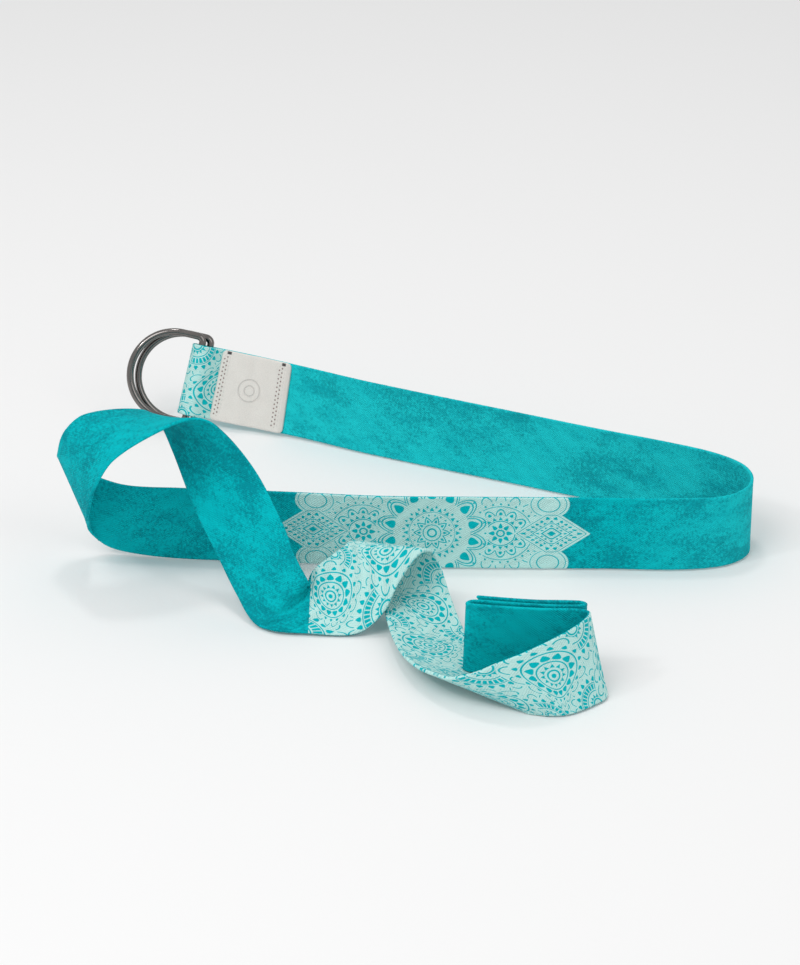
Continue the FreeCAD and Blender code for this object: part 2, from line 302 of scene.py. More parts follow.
def webbing_profile(index, count):
    """The webbing's cross-section: flat faces, a thin rib inside each selvage, and rounded selvages."""
    near_edge = [0.9, 0.94, 0.97, 0.992, 1.0]
    places = [-place for place in reversed(near_edge)] + [k / 10 for k in range(-8, 9)] + near_edge
    heights = []
    for place in places:
        past = abs(place) * WEBBING_HALF_WIDTH - (WEBBING_HALF_WIDTH - SELVAGE_ROUNDING)
        rounding = math.sqrt(max(1 - max(past / SELVAGE_ROUNDING, 0.0) ** 2, 0.0))
        rib = SELVAGE_RIB * (0.93 < abs(place) < 0.98)
        heights.append((WEBBING_HALF_THICKNESS + rib) * rounding)
    outer = [(place, height, 1.0) for place, height in zip(places, heights)]
    inner = [(place, -height, -1.0) for place, height in zip(places, heights)]
    return outer + inner[-2:0:-1]


def patch_profile(index, count):
    """The patch's cross-section, thinner towards its rounded rim."""
    rim = min(index, count - 1 - index) * 0.5
    end = math.sqrt(max(1 - max(1 - rim / 0.8, 0.0) ** 2, 0.04))
    places = [-1.0, -0.99, -0.97, -0.94] + [k / 10 for k in range(-9, 10)] + [0.94, 0.97, 0.99, 1.0]
    heights = []
    for place in places:
        past = max((abs(place) - 0.955) / 0.045, 0.0)
        heights.append(PATCH_THICKNESS / 2 * end * math.sqrt(max(1 - past ** 2, 0.0)))
    outer = [(place, height, 1.0) for place, height in zip(places, heights)]
    inner = [(place, -PATCH_THICKNESS / 2 * (abs(place) < 1), -1.0) for place in places]
    return outer + inner[-2:0:-1]


def ring_piece(name, bar_along, bar_height, material):
    """D-ring of round wire, with a flat bar in the webbing's loop and its round side outwards."""
    half, corner, radius = (RING_INSIDE_WIDTH / 2 + WIRE_RADIUS), RING_CORNER_RADIUS, WIRE_RADIUS
    path = [(0.0, y) for y in np.linspace(-(half - corner), half - corner, 24)]
    for angle in np.linspace(0, math.pi / 2, 10)[1:]:
        path.append((corner - corner * math.cos(angle), half - corner + corner * math.sin(angle)))
    path += [(x, half) for x in np.linspace(corner, RING_ARC_CENTRE, 6)[1:]]
    for angle in np.linspace(0, math.pi, 90)[1:]:
        path.append((RING_ARC_CENTRE + half * math.sin(angle), half * math.cos(angle)))
    path += [(x, -half) for x in np.linspace(RING_ARC_CENTRE, corner, 6)[1:]]
    for angle in np.linspace(0, math.pi / 2, 10)[1:-1]:
        path.append((corner - corner * math.sin(angle), -half + corner - corner * math.cos(angle)))
    outwards = -ALONG * math.cos(RING_TILT) + OUT * math.sin(RING_TILT)
    face = np.cross(outwards, ACROSS)
    centre = end_point(bar_along, 0, bar_height)
    path = np.array(path)
    ahead = np.roll(path, -1, axis=0) - np.roll(path, 1, axis=0)
    ahead /= np.linalg.norm(ahead, axis=1)[:, None]
    points, sides = [], 28
    for (x, y), (dx, dy) in zip(path, ahead):
        for angle in np.linspace(0, 2 * math.pi, sides, endpoint=False):
            across, up = radius * math.cos(angle), radius * math.sin(angle)
            points.append(centre + outwards * (x + dy * across) + ACROSS * (y - dx * across) + face * up)
    faces, count = [], len(path)
    for i in range(count):
        for k in range(sides):
            j, m = (i + 1) % count, (k + 1) % sides
            faces.append((i * sides + k, j * sides + k, j * sides + m, i * sides + m))
    piece = new_piece(name, points, faces, material)
    recalculate_outwards(piece)
    return piece


# ---- node trees ---------------------------------------------------------------------------------
def linear(*colour):
    """A colour given as 0 to 255 screen values, as the shader wants it."""
    return tuple(((c / 255 + 0.055) / 1.055) ** 2.4 if c > 10 else c / 3294.6 for c in colour) + (1.0,)


class Tree:
    """A node tree that nodes are added to in one call each."""

    def __init__(self, tree):
        self.tree = tree

    def add(self, kind, settings=None, inputs=None, output=0):
        """Adds a node: its settings first, then its sockets' values or links, by name or number."""
        node = self.tree.nodes.new(kind)
        for key, value in (settings or {}).items():
            setattr(node, key, value)
        for key, value in (inputs or {}).items():
            socket = node.inputs[key]
            if isinstance(value, Field):
                self.tree.links.new(value.socket, socket)
            else:
                socket.default_value = value
        return Field(self, node.outputs[output]) if len(node.outputs) else node


class Field:
    """One output of a node, which can be used in ordinary arithmetic."""

    def __init__(self, tree, socket):
        self.tree, self.socket = tree, socket

    def math(self, operation, *others, swap=False, clamp=False):
        values = (*others, self) if swap else (self, *others)
        settings = {"operation": operation, "use_clamp": clamp}
        return self.tree.add("ShaderNodeMath", settings, dict(enumerate(values)))

    def output(self, name):
        return Field(self.tree, self.socket.node.outputs[name])

    def __add__(self, other): return self.math("ADD", other)
    def __radd__(self, other): return self.math("ADD", other)
    def __sub__(self, other): return self.math("SUBTRACT", other)
    def __rsub__(self, other): return self.math("SUBTRACT", other, swap=True)
    def __mul__(self, other): return self.math("MULTIPLY", other)
    def __rmul__(self, other): return self.math("MULTIPLY", other)
    def __truediv__(self, other): return self.math("DIVIDE", other)
    def __rtruediv__(self, other): return self.math("DIVIDE", other, swap=True)
    def __neg__(self): return self.math("MULTIPLY", -1.0)
    def __abs__(self): return self.math("ABSOLUTE")
    def __mod__(self, other): return self.math("FLOORED_MODULO", other)


EDGE = 0.14      # how soft a printed edge is, in millimetres


def inside(value, limit, edge=EDGE):
    """1 where value is under limit, 0 where it is over, with a soft edge between."""
    return ((limit - value) / edge).math("ADD", 0.5, clamp=True)


def band(value, low, high, edge=EDGE):
    return inside(value, high, edge) * inside(low - value, 0.0, edge)


def distance(x, y):
    return (x * x + y * y).math("SQRT")


def either(a, b):
    return a.math("MAXIMUM", b)


def fold(value, period):
    """Distance from the nearest repeat, with its sign."""
    return (value / period + 0.5) % 1.0 * period - period / 2


def spokes(angle, radius, count, turn=0.0):
    """Distance round the circle from the nearest of a number of spokes."""
    step = 2 * math.pi / count
    return fold(angle + turn * step, step) * radius


def ring_of_drops(radius, angle, at, count, height, width, turn=0.0):
    """A ring of filled drops, each pointed towards the outside."""
    out = (radius - at) / height
    side = spokes(angle, radius, count, turn) / (width * (1.0 - 0.55 * out))
    return inside(distance(out, side), 1.0, EDGE / width)


def ring_of_arches(radius, angle, at, count, height, width, line, turn=0.0):
    """A ring of arch outlines standing on a circle."""
    out = (radius - at) / height
    side = spokes(angle, radius, count, turn) / width
    return band(distance(out, side), 1.0 - line, 1.0, EDGE / width) * inside(at - radius, 0.0)


def ring_of_points(radius, angle, at, count, height, width, turn=0.0):
    """A ring of small triangles."""
    side = abs(spokes(angle, radius, count, turn)) / width
    return inside(side + (radius - at) / height, 1.0, EDGE / width) * inside(at - radius, 0.0)


def front_print(u, v):
    """Print of the front run: a round medallion, smaller ones beside it and pointed ends.
    Returns how pale it is, and where the print covers the ground."""
    x = abs(u)
    radius, angle = distance(u, v), v.math("ARCTAN2", u)
    ink = band(radius, 1.6, 2.5)
    ink = either(ink, band(radius, 4.0, 4.5))
    petal = abs(spokes(angle, 1.0, 10)) * (10 / math.pi)
    star = radius - (9.0 - 3.0 * petal)
    ink = either(ink, band(star, -0.95, 0.0))
    ink = either(ink, ring_of_drops(radius, angle, 6.3, 10, 0.9, 0.6))
    ink = either(ink, ring_of_drops(radius, angle, 9.4, 20, 0.55, 0.4, 0.5))
    ink = either(ink, band(radius, 10.9, 11.2))
    ink = either(ink, ring_of_points(radius, angle, 11.6, 20, 2.2, 1.15))
    ink = either(ink, ring_of_drops(radius, angle, 13.9, 20, 0.75, 0.5, 0.5))
    outer = ring_of_drops(radius, angle, 20.6, 14, 2.6, 1.9, 0.5)
    outer = either(outer, ring_of_arches(radius, angle, 18.6, 14, 6.4, 3.9, 0.13, 0.5))
    outer = either(outer, ring_of_arches(radius, angle, 18.6, 14, 8.2, 4.8, 0.09, 0.5))
    outer = either(outer, ring_of_drops(radius, angle, 25.8, 28, 0.6, 0.45))
    ink = either(ink, outer * inside(radius, 27.2))
    near, side_angle = distance((x - 33.0) * 0.92, v), v.math("ARCTAN2", x - 33.0)
    side = band(near, 1.2, 2.0)
    side = either(side, ring_of_drops(near, side_angle, 4.0, 8, 1.4, 0.9))
    side = either(side, band(near, 6.2, 6.7))
    side = either(side, ring_of_points(near, side_angle, 7.0, 16, 1.8, 1.1))
    side = either(side, ring_of_arches(near, side_angle, 9.4, 12, 3.6, 2.5, 0.2))
    side = either(side, ring_of_drops(near, side_angle, 10.5, 12, 0.9, 0.8))
    side = either(side, band(near, 14.0, 14.4))
    side = either(side, ring_of_drops(near, side_angle, 15.6, 26, 0.6, 0.5, 0.5))
    side = either(side, ring_of_arches(near, side_angle, 17.2, 16, 3.2, 2.6, 0.18))
    ink = either(ink, side * inside(27.2 - radius, 0.0))
    tip = (x - 57.5) / 18.5
    leaf = distance(tip, v / (11.0 * (1.0 - 0.45 * tip * abs(tip))))
    leaf = either(leaf, abs(v) / 13.0 + abs(tip) * 0.98)
    low_leaf = distance((x - 56.0) / 10.0, (abs(v) - 15.5) / 7.5)
    turn = (v / 11.0).math("ARCTAN2", tip)
    mm = leaf * 11.0
    leaves = either(band(leaf, 0.88, 0.91, 0.02), band(leaf, 0.46, 0.5, 0.02))
    leaves = either(leaves, either(inside(leaf, 0.12, 0.03), band(leaf, 0.22, 0.28, 0.02)))
    leaves = either(leaves, ring_of_drops(mm, turn, 8.2, 22, 0.8, 0.6))
    leaves = either(leaves, ring_of_points(mm, turn, 5.9, 18, 1.2, 0.7, 0.5))
    leaves = either(leaves, ring_of_drops(mm, turn, 4.1, 12, 0.5, 0.45))
    low_leaves = either(band(low_leaf, 0.84, 0.88, 0.02), band(low_leaf, 0.5, 0.56, 0.02))
    low_leaves = low_leaves * inside(0.22 - low_leaf, 0.0, 0.03)
    on_leaf = inside(leaf, 0.97, 0.02)
    ends = on_leaf * leaves + (1.0 - on_leaf) * low_leaves
    past = either(inside(58.0 - x, 0.0), either(on_leaf, inside(low_leaf, 0.98, 0.02)))
    ink = past * ends + (1.0 - past) * ink
    return 1.0 - ink, either(inside(x, 52.0), either(inside(leaf, 1.0, 0.02), inside(low_leaf, 1.0, 0.03)))


def drop_motif(x, y, size):
    """A large drop ringed by petals. Returns its ink and its distance out, which is 1 at its own edge."""
    lean = (1.0 - 0.42 * y / size).math("MAXIMUM", 0.3)
    wide, tall = x / (size * lean), (y + 0.12 * size) / (size * 1.2)
    out, angle = distance(wide, tall), tall.math("ARCTAN2", wide)
    mm = out * size
    ink = inside(mm, 0.1 * size)
    ink = either(ink, band(mm, 0.2 * size, 0.27 * size))
    ink = either(ink, ring_of_points(mm, angle, 0.36 * size, 12, 0.16 * size, 0.09 * size))
    ink = either(ink, band(mm, 0.58 * size, 0.63 * size))
    ink = either(ink, ring_of_drops(mm, angle, 0.8 * size, 14, 0.12 * size, 0.13 * size))
    ink = either(ink, band(mm, 0.97 * size, 1.02 * size))
    ink = either(ink, ring_of_drops(mm, angle, 1.14 * size, 18, 0.07 * size, 0.08 * size, 0.5))
    ink = either(ink, ring_of_arches(mm, angle, 1.28 * size, 14, 0.2 * size, 0.24 * size, 0.22))
    return ink, out


def tail_print(u, v):
    """Print of the tail: large drops leaning in from both edges, over rosettes and dotted arcs."""
    cell = 34.0
    flip = 1.0 - 2.0 * ((u / cell + 0.5).math("FLOOR") % 2.0)
    x = fold(u, cell)
    ink, out = drop_motif(x * 0.94 + v * flip * 0.3, v * flip * 0.96 - x * 0.3 + 1.5, 10.0)
    between = fold(u + cell / 2, cell)
    low = distance(between, v + 19.0)
    high = distance(between, v - 19.0)
    radius = low.math("MINIMUM", high)
    angle = (19.0 - abs(v)).math("ARCTAN2", between)
    under = band(radius, 2.2, 3.0)
    under = either(under, ring_of_points(radius, angle, 3.4, 14, 2.0, 0.9))
    under = either(under, band(radius, 6.4, 6.9))
    under = either(under, band(radius, 7.4, 10.0) * inside(0.25 - abs(spokes(angle, radius, 30)), 0.0))
    under = either(under, band(radius, 10.3, 10.7))
    under = either(under, ring_of_drops(radius, angle, 12.4, 20, 1.2, 1.0, 0.5))
    under = either(under, ring_of_arches(radius, angle, 14.4, 18, 2.6, 2.1, 0.22))
    on_drop = inside(out, 1.52, 0.02)
    return 1.0 - (on_drop * ink + (1.0 - on_drop) * under)


def new_material(name):
    material = bpy.data.materials.new(name)
    material.use_nodes = True
    material.node_tree.nodes.clear()
    return material, Tree(material.node_tree)


def finish_material(tree, inputs):
    shader = tree.add("ShaderNodeBsdfPrincipled", {}, inputs)
    tree.add("ShaderNodeOutputMaterial", {}, {"Surface": shader})


def mix_colour(tree, share, low, high):
    node = tree.tree.nodes.new("ShaderNodeMix")
    node.data_type = "RGBA"
    for socket, value in ((node.inputs[0], share), (node.inputs[6], low), (node.inputs[7], high)):
        if isinstance(value, Field):
            tree.tree.links.new(value.socket, socket)
        else:
            socket.default_value = value
    return Field(tree, node.outputs[2])


def noise(tree, vector, scale, detail=3.0, roughness=0.55):
    return tree.add("ShaderNodeTexNoise", {}, {"Vector": vector, "Scale": scale, "Detail": detail,
                                               "Roughness": roughness})


def vector(tree, x, y, z):
    return tree.add("ShaderNodeCombineXYZ", {}, {0: x, 1: y, 2: z})


# Where the prints lie along the strap, in millimetres from the start of its long run.
FRONT_PRINT_CENTRE = 494.5
FRONT_PRINT_HALF_LENGTH = 77.0
TAIL_PRINT_START = 908.0
TAIL_PRINT_STOP = 1160.0
TAIL_PRINT_OTHER_FACE_START = 935.0
TAIL_PRINT_OTHER_FACE_STOP = 1110.0
END_PRINT_STOP = 4.0

BRIGHT_TEAL = linear(0, 200, 208)
# Painted light: a paler teal laid over the far run, from the start of the long run, stands in for the light
# that falls on that run, and fades out over the ease before the stop.
PAINTED_LIGHT_TEAL = linear(44, 228, 232)
PAINTED_LIGHT_STOP = 360.0
PAINTED_LIGHT_EASE = 90.0
WARP_PITCH = 1.5
WEFT_PITCH = 1.05
TWILL_PITCH = 1.7
MID_TEAL = linear(0, 174, 188)
DEEP_TEAL = linear(0, 104, 120)
PRINT_PALE = linear(206, 250, 244)


def make_webbing_material():
    material, tree = new_material("printed_teal_webbing")
    lay = tree.add("ShaderNodeAttribute", {"attribute_name": "lay"}, {}, 1)
    split = tree.add("ShaderNodeSeparateXYZ", {}, {0: lay})
    u, v, side = split, split.output("Y"), split.output("Z")
    turned = side.math("SIGN")

    cloud = noise(tree, vector(tree, u, v * 1.3, turned * 40.0), 0.028, 6.0, 0.62)
    smear = noise(tree, vector(tree, u * 0.35, v, turned * 25.0), 0.16, 4.0, 0.6)
    grain = noise(tree, vector(tree, u * 0.6, v, turned * 9.0), 1.5, 2.0, 0.6)
    speck = noise(tree, vector(tree, u, v * 0.8, turned * 5.0), 0.75, 3.0, 0.75)
    share = cloud * 0.62 + smear * 0.24 + (speck - 0.5) * 0.55 + (grain - 0.5) * 0.35
    worn = inside(0.46 - share, 0.0, 0.16)
    ground = mix_colour(tree, worn * 0.62, BRIGHT_TEAL, DEEP_TEAL)
    # Painted light on the far run: the ground is lightened towards the paler teal there, less where the
    # mottle is worn.
    painted_light_on_far_run = inside(u, PAINTED_LIGHT_STOP, PAINTED_LIGHT_EASE)
    ground = mix_colour(tree, painted_light_on_far_run * (0.6 - worn * 0.35), ground, PAINTED_LIGHT_TEAL)
    ground = mix_colour(tree, inside(0.56 - smear, 0.0, 0.2) * 0.3, ground, MID_TEAL)

    on_back = inside(turned, 0.0, 0.1)
    from_centre = u - FRONT_PRINT_CENTRE
    front_pale, front_cover = front_print(from_centre, v)
    front_area = inside(abs(from_centre), FRONT_PRINT_HALF_LENGTH) * on_back
    tail_pale = tail_print(u - TAIL_PRINT_START + turned * 11.0, v)
    start = TAIL_PRINT_START + (1.0 - on_back) * (TAIL_PRINT_OTHER_FACE_START - TAIL_PRINT_START)
    stop = TAIL_PRINT_STOP + (1.0 - on_back) * (TAIL_PRINT_OTHER_FACE_STOP - TAIL_PRINT_STOP)
    tail_area = either(inside(start - u, 0.0) * inside(u - stop, 0.0), inside(u, END_PRINT_STOP) * on_back)

    in_print = either(front_area * front_cover, tail_area)
    pale = front_area * front_cover * front_pale + tail_area * tail_pale
    rubbed = inside(0.36 - noise(tree, vector(tree, u, v, 3.0), 0.9, 3.0, 0.7), 0.0, 0.12)
    ground = mix_colour(tree, in_print * 0.85, ground, BRIGHT_TEAL)
    colour = mix_colour(tree, pale * (0.84 + 0.15 * rubbed), ground, PRINT_PALE)

    warp = (u * (2 * math.pi / WARP_PITCH)).math("SINE")
    weft = (v * (2 * math.pi / WEFT_PITCH)).math("SINE")
    twill = ((u * 1.0 + v * 1.45) * (2 * math.pi / TWILL_PITCH)).math("SINE")
    threads = 0.5 + 0.28 * warp * weft + 0.2 * twill
    fuzz = noise(tree, vector(tree, u, v, side), 2.6, 2.0)
    # Painted shade: the colour is darkened in the hollows between the threads, where shade falls in the
    # weave, on top of the bump.
    shade = 0.5 + (threads - 0.5) * 0.5
    colour = mix_colour(tree, (1.0 - shade) * 0.42, colour, linear(0, 60, 72))
    height = threads * 0.75 + fuzz * 0.25
    bump = tree.add("ShaderNodeBump", {}, {"Strength": 0.9, "Distance": 0.00045, "Height": height})
    finish_material(tree, {"Base Color": colour, "Roughness": 0.72 + 0.16 * fuzz, "Normal": bump,
                           "Specular IOR Level": 0.06})
    return material


def make_patch_material():
    material, tree = new_material("grained_leatherette")
    lay = tree.add("ShaderNodeAttribute", {"attribute_name": "lay"}, {}, 1)
    split = tree.add("ShaderNodeSeparateXYZ", {}, {0: lay})
    u, v = split, split.output("Y")
    flat = vector(tree, u, v, 0.0)
    pebbles = tree.add("ShaderNodeTexVoronoi", {"feature": "DISTANCE_TO_EDGE"},
                       {"Vector": flat, "Scale": 1.1})
    pores = noise(tree, flat, 2.2, 3.0)
    tone = noise(tree, flat, 0.12, 3.0)
    holes, puckers = None, None
    for column in (COLUMN_INSET, PATCH_LENGTH - COLUMN_INSET - COLUMN_SPACING):
        for k in range(2):
            across = u - (column + k * COLUMN_SPACING)
            along = fold(v + (0.5 - k) * STITCH_PITCH / 2 + STITCH_PITCH / 2, STITCH_PITCH)
            hole = inside(distance(across, along), 0.42, 0.25) * inside(abs(v), 16.4)
            pucker = inside(abs(across), 0.5, 1.2)
            holes = hole if holes is None else either(holes, hole)
            puckers = pucker if puckers is None else either(puckers, pucker)
    centre = distance(u - PATCH_LENGTH / 2, v)
    emblem = either(band(centre, 5.6, 6.3, 0.3), band(centre, 2.4, 3.0, 0.3))
    rim = inside(PATCH_LENGTH / 2 - 0.8 - abs(u - PATCH_LENGTH / 2), 0.0, 0.8)
    colour = mix_colour(tree, tone, linear(226, 222, 216), linear(214, 209, 203))
    colour = mix_colour(tree, inside(pebbles, 0.06, 0.1) * 0.22, colour, linear(186, 180, 174))
    colour = mix_colour(tree, emblem * 0.3, colour, linear(168, 163, 158))
    colour = mix_colour(tree, rim * 0.25, colour, linear(190, 184, 176))
    colour = mix_colour(tree, holes * 0.85, colour, linear(110, 78, 74))
    grain = pebbles.math("MINIMUM", 0.25) * 1.2 + pores * 0.25
    height = grain * (1.0 - emblem) - emblem * 1.6 - puckers * 0.9 - holes * 1.2
    bump = tree.add("ShaderNodeBump", {}, {"Strength": 0.6, "Distance": 0.0003, "Height": height})
    finish_material(tree, {"Base Color": colour, "Roughness": 0.5 + 0.2 * pores, "Normal": bump,
                           "Specular IOR Level": 0.4})
    return material


def make_ring_material():
    material, tree = new_material("dark_nickel_plate")
    place = tree.add("ShaderNodeTexCoord", {}, {}, "Object")
    swirl = noise(tree, place, 900.0, 2.0)
    cloud = noise(tree, place, 120.0, 3.0)
    scratch = inside(0.64 - noise(tree, place, 2600.0, 1.0), 0.0, 0.05)
    colour = mix_colour(tree, cloud, linear(104, 101, 100), linear(134, 130, 127))
    bump = tree.add("ShaderNodeBump", {}, {"Strength": 0.06, "Distance": 0.0001, "Height": swirl})
    finish_material(tree, {"Base Color": colour, "Metallic": 1.0, "Normal": bump,
                           "Roughness": 0.1 + 0.06 * cloud + 0.12 * scratch})
    return material


def make_thread_material(name, light, dark):
    material, tree = new_material(name)
    place = tree.add("ShaderNodeTexCoord", {}, {}, "Object")
    plies = tree.add("ShaderNodeTexWave", {"bands_direction": "DIAGONAL"},
                     {"Vector": place, "Scale": 900.0, "Distortion": 1.0})
    colour = mix_colour(tree, plies, dark, light)
    bump = tree.add("ShaderNodeBump", {}, {"Strength": 0.4, "Distance": 0.0001, "Height": plies})
    finish_material(tree, {"Base Color": colour, "Roughness": 0.6 + 0.2 * plies, "Normal": bump})
    return material


# ---- repeated pieces ----------------------------------------------------------------------------
def new_geometry_tree(name, sizes):
    """A geometry tree with a named input for each size."""
    tree = bpy.data.node_groups.new(name, "GeometryNodeTree")
    tree.interface.new_socket("Geometry", in_out="INPUT", socket_type="NodeSocketGeometry")
    for label, kind in sizes:
        tree.interface.new_socket(label, in_out="INPUT", socket_type=kind)
    tree.interface.new_socket("Geometry", in_out="OUTPUT", socket_type="NodeSocketGeometry")
    return Tree(tree)


def end_geometry_tree(tree, instances, material, smooth=True):
    real = tree.add("GeometryNodeRealizeInstances", {}, {0: instances})
    shaded = tree.add("GeometryNodeSetShadeSmooth", {}, {"Geometry": real, "Shade Smooth": smooth})
    painted = tree.add("GeometryNodeSetMaterial", {}, {"Geometry": shaded, "Material": material})
    tree.add("NodeGroupOutput", {}, {0: painted})


def grow(name, base, tree, values):
    """Runs a geometry tree on a base mesh and keeps the result as a plain mesh piece."""
    modifier = base.modifiers.new("grow", "NODES")
    modifier.node_group = tree.tree
    for item in tree.tree.interface.items_tree:
        if item.in_out == "INPUT" and item.name in values:
            modifier[item.identifier] = values[item.name]
    graph = bpy.context.evaluated_depsgraph_get()
    graph.update()
    mesh = bpy.data.meshes.new_from_object(base.evaluated_get(graph), depsgraph=graph)
    base.modifiers.remove(modifier)
    bpy.data.objects.remove(base)
    piece = bpy.data.objects.new(name, mesh)
    bpy.context.scene.collection.objects.link(piece)
    return piece


def make_stitch_tree(material):
    """A row of short threads laid from each point of the base mesh."""
    tree = new_geometry_tree("stitch_row", [
        ("Stitches", "NodeSocketInt"), ("Step", "NodeSocketVector"), ("Turn", "NodeSocketVector"),
        ("Thread radius", "NodeSocketFloat"), ("Thread length", "NodeSocketFloat")])
    given = tree.add("NodeGroupInput")
    radius = given.output("Thread radius")
    half_length = given.output("Thread length") * 0.5
    size = tree.add("ShaderNodeCombineXYZ", {}, {0: radius, 1: radius, 2: half_length})
    thread = tree.add("GeometryNodeMeshUVSphere", {}, {"Segments": 10, "Rings": 8, "Radius": 1.0})
    thread = tree.add("GeometryNodeTransform", {}, {"Geometry": thread, "Scale": size,
                                                    "Rotation": given.output("Turn")})
    row = tree.add("GeometryNodeMeshLine", {"mode": "OFFSET"}, {"Count": given.output("Stitches"),
                                                                "Offset": given.output("Step")})
    row = tree.add("GeometryNodeInstanceOnPoints", {}, {"Points": row, "Instance": thread})
    rows = tree.add("GeometryNodeInstanceOnPoints", {}, {"Points": given, "Instance": row})
    end_geometry_tree(tree, rows, material)
    return tree


def make_selvage_tree(material):
    """Small turns of weft thread along the edges given by the base mesh."""
    tree = new_geometry_tree("selvage_turns", [
        ("Turn spacing", "NodeSocketFloat"), ("Turn radius", "NodeSocketFloat"), ("Seed", "NodeSocketInt")])
    given = tree.add("NodeGroupInput")
    edge = tree.add("GeometryNodeMeshToCurve", {}, {0: given})
    edge = tree.add("GeometryNodeResampleCurve", {"mode": "LENGTH"}, {"Curve": edge,
                                                                      "Length": given.output("Turn spacing")})
    turn = tree.add("GeometryNodeMeshUVSphere", {}, {"Segments": 6, "Rings": 5,
                                                     "Radius": given.output("Turn radius")})
    uneven = tree.add("FunctionNodeRandomValue", {"data_type": "FLOAT"},
                      {2: 0.88, 3: 1.08, "Seed": given.output("Seed")}, 1)
    turns = tree.add("GeometryNodeInstanceOnPoints", {}, {"Points": edge, "Instance": turn, "Scale": uneven})
    end_geometry_tree(tree, turns, material)
    return tree


def base_mesh(name, points, edges=(), lay=None):
    mesh = bpy.data.meshes.new(name)
    mesh.from_pydata((np.asarray(points) * MM).tolist(), list(edges), [])
    if lay is not None:
        write_lay(mesh, lay)
    base = bpy.data.objects.new(name, mesh)
    bpy.context.scene.collection.objects.link(base)
    return base


def patch_point(along, across):
    """A point on the patch's face."""
    point, _, side, out = back_run_frame(along)
    return point + out * (patch_height(along) + PATCH_THICKNESS / 2) + side * across


# ---- the strap ----------------------------------------------------------------------------------
webbing_material = make_webbing_material()
thread_material = make_thread_material("off_white_thread", linear(232, 229, 224), linear(196, 190, 184))
dark_thread_material = make_thread_material("dark_tack_thread", linear(92, 84, 84), linear(44, 40, 42))

folded_pairs = layer_sections(steps(FOLDED_END, LOOP_RADIUS, FOLD_STEP), folded_height,
                              lambda along: WEBBING_HALF_WIDTH)
turn_pairs = []
for part in range(1, LOOP_TURN_PARTS):
    angle = math.radians(90 + 180 * part / LOOP_TURN_PARTS)
    along = LOOP_RADIUS + LOOP_RADIUS * math.cos(angle)
    height = LOOP_RADIUS + LOOP_RADIUS * math.sin(angle)
    turn_pairs.append((end_point(along, -WEBBING_HALF_WIDTH, height),
                       end_point(along, WEBBING_HALF_WIDTH, height)))
route_pairs = sections(ROUTE_FIRST, ROUTE_SECOND, ROUTE_STEP)
strap_pairs = folded_pairs + turn_pairs + route_pairs
before_route = sum((np.linalg.norm(c - a) + np.linalg.norm(d - b)) / 2
                   for (a, b), (c, d) in zip(strap_pairs, strap_pairs[1:len(folded_pairs + turn_pairs) + 1]))

webbing, strap_distance = band_piece("printed_webbing", strap_pairs, -before_route, webbing_profile,
                                     WEBBING_HALF_WIDTH, webbing_material)
strap_length = strap_distance[-1] - strap_distance[0]

selvage_points, selvage_edges, selvage_lay = [], [], []
for edge in (-1, 1):
    base = len(selvage_points)
    for (a, b), along in zip(strap_pairs, strap_distance):
        inset = unit(b - a) * SELVAGE_TURN_INSET
        selvage_points.append(a + inset if edge < 0 else b - inset)
        selvage_lay.append((along, edge * WEBBING_HALF_WIDTH, 1.0))
    selvage_edges += [(base + i, base + i + 1) for i in range(len(strap_pairs) - 1)]
selvage = grow("selvage_turns", base_mesh("selvage_edges", selvage_points, selvage_edges, selvage_lay),
               make_selvage_tree(webbing_material),
               {"Turn spacing": SELVAGE_TURN_SPACING * MM, "Turn radius": SELVAGE_TURN_RADIUS * MM,
                "Seed": 4})

patch_pairs = layer_sections(steps(PATCH_START, PATCH_START + PATCH_LENGTH, PATCH_STEP),
                             patch_height, patch_half_width)
patch, _ = band_piece("leatherette_patch", patch_pairs, 0.0, patch_profile, PATCH_HALF_WIDTH,
                      make_patch_material())

_, patch_along, patch_across, _ = back_run_frame(PATCH_START + PATCH_LENGTH / 2)
across_turn = Vector((0, 0, 1)).rotation_difference(Vector(patch_across)).to_euler()
along_turn = Vector((0, 0, 1)).rotation_difference(Vector(patch_along)).to_euler()
stitch_starts, tack_starts = [], []
for column in (PATCH_START + COLUMN_INSET, PATCH_START + PATCH_LENGTH - COLUMN_INSET - COLUMN_SPACING):
    for k in range(2):
        along = column + k * COLUMN_SPACING
        back, _, side, out = back_run_frame(along)
        for row in range(STITCHES_PER_COLUMN):
            across = (row - (STITCHES_PER_COLUMN - 1) / 2) * STITCH_PITCH + (k - 0.5) * STITCH_PITCH / 2
            stitch_starts.append(patch_point(along, across))
            stitch_starts.append(back + side * across - out * WEBBING_HALF_THICKNESS)
    tack_starts.append(patch_point(column + COLUMN_SPACING / 2, PATCH_HALF_WIDTH - TACK_INSET))
stitch_tree = make_stitch_tree(thread_material)
stitches = grow("patch_stitches", base_mesh("stitch_starts", stitch_starts), stitch_tree, {
    "Stitches": 1, "Step": Vector((0, 0, 0)), "Turn": Vector(across_turn),
    "Thread radius": THREAD_RADIUS * MM, "Thread length": STITCH_LENGTH * MM})
tacks = grow("patch_tacks", base_mesh("tack_starts", tack_starts), make_stitch_tree(dark_thread_material), {
    "Stitches": TACK_THREADS, "Step": Vector(patch_across * TACK_THREAD_STEP * MM),
    "Turn": Vector(along_turn),
    "Thread radius": THREAD_RADIUS * MM, "Thread length": TACK_THREAD_LENGTH * MM})

ring_material = make_ring_material()
front_ring = ring_piece("front_d_ring", FRONT_BAR_ALONG, FRONT_BAR_HEIGHT, ring_material)
back_ring = ring_piece("back_d_ring", BACK_BAR_ALONG, BACK_BAR_HEIGHT, ring_material)

# ---- floor, light and camera --------------------------------------------------------------------
FLOOR_SIZE = 60.0
RING_END = (-0.12, 0.15, 0.03)


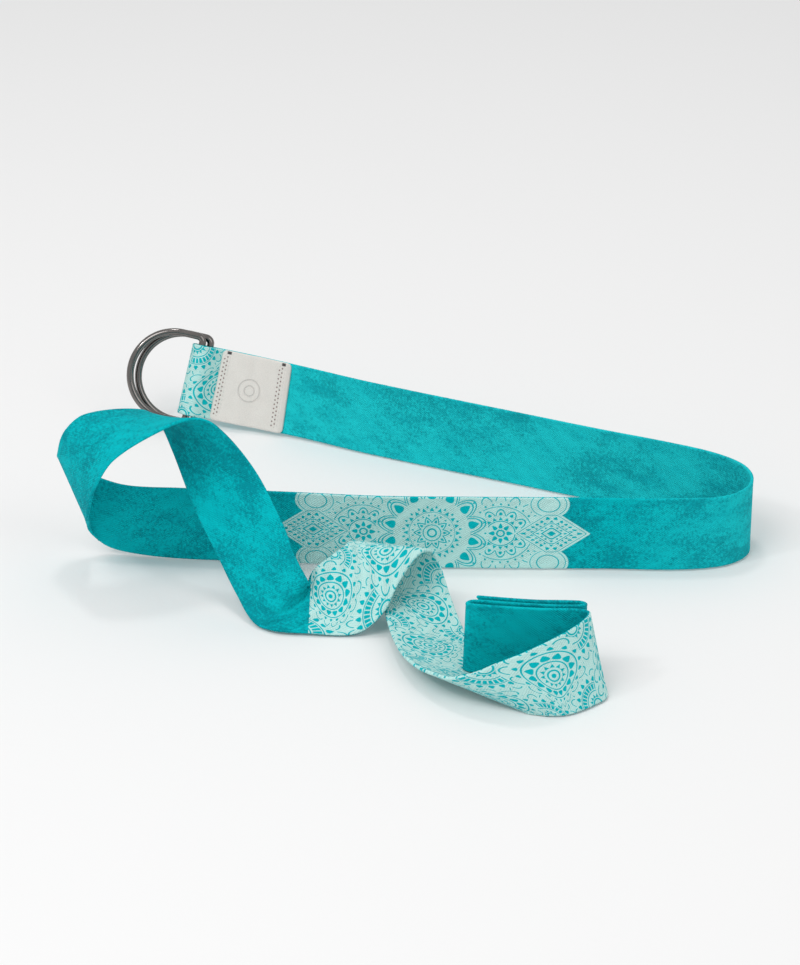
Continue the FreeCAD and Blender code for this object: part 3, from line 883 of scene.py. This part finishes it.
def make_floor():
    material, tree = new_material("pale_floor")
    tone = noise(tree, tree.add("ShaderNodeTexCoord", {}, {}, "Object"), 3.0)
    finish_material(tree, {"Base Color": mix_colour(tree, tone, linear(238, 238, 238), linear(237, 237, 237)),
                           "Roughness": 0.9, "Specular IOR Level": 0.0})
    half = FLOOR_SIZE / 2
    corners = [(-half, -half, 0), (half, -half, 0), (half, half, 0), (-half, half, 0)]
    mesh = bpy.data.meshes.new("floor")
    mesh.from_pydata(corners, [], [(0, 1, 2, 3)])
    mesh.materials.append(material)
    floor = bpy.data.objects.new("floor", mesh)
    bpy.context.scene.collection.objects.link(floor)
    return floor


def add_light(name, location, target, size, power):
    data = bpy.data.lights.new(name, "AREA")
    data.shape, data.size, data.energy = "DISK", size, power
    lamp = bpy.data.objects.new(name, data)
    lamp.location = location
    lamp.rotation_euler = (Vector(target) - Vector(location)).to_track_quat("-Z", "Y").to_euler()
    bpy.context.scene.collection.objects.link(lamp)


floor = make_floor()
world = bpy.data.worlds.new("studio")
world.use_nodes = True
world.node_tree.nodes["Background"].inputs[0].default_value = (1.0, 1.0, 1.0, 1.0)
world.node_tree.nodes["Background"].inputs[1].default_value = 0.68
bpy.context.scene.world = world
bpy.context.scene.view_settings.view_transform = "Standard"
add_light("key", (-1.0, -1.3, 2.2), (0, 0, 0), 1.4, 18.0)
add_light("fill", (1.3, -1.5, 1.4), (0, 0, 0), 1.4, 7.0)
add_light("ring_stripe_left", (-1.1, -0.7, 1.3), RING_END, 0.22, 3.0)
add_light("ring_stripe_top", (-0.1, 0.3, 1.6), RING_END, 0.22, 2.6)

CAMERA_LENS = 116.95
CAMERA_TILT = math.radians(65.0)
CAMERA_PLACE = np.array([0.0, -1359.5, 679.0]) + ROUTE_ORIGIN
camera_data = bpy.data.cameras.new("camera")
camera_data.lens = CAMERA_LENS
camera_data.sensor_width = 36.0
camera_data.clip_start, camera_data.clip_end = 0.05, 100.0
camera = bpy.data.objects.new("camera", camera_data)
camera.location = Vector(CAMERA_PLACE * MM)
camera.rotation_euler = (CAMERA_TILT, 0.0, 0.0)
bpy.context.scene.collection.objects.link(camera)
bpy.context.scene.camera = camera

# ---- what each piece moves with; the CAD parts are hidden ---------------------------------------
for piece in (webbing, selvage, patch, stitches, tacks):
    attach(piece, "strap")
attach(front_ring, "front_ring")
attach(back_ring, "back_ring")
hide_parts("webbing")
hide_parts("patch")
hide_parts("patch_stitches_ring_side", "patch_stitches_strap_side")
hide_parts("bar_tacks")
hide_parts("ring_front")
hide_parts("ring_back")
strap_length * MM
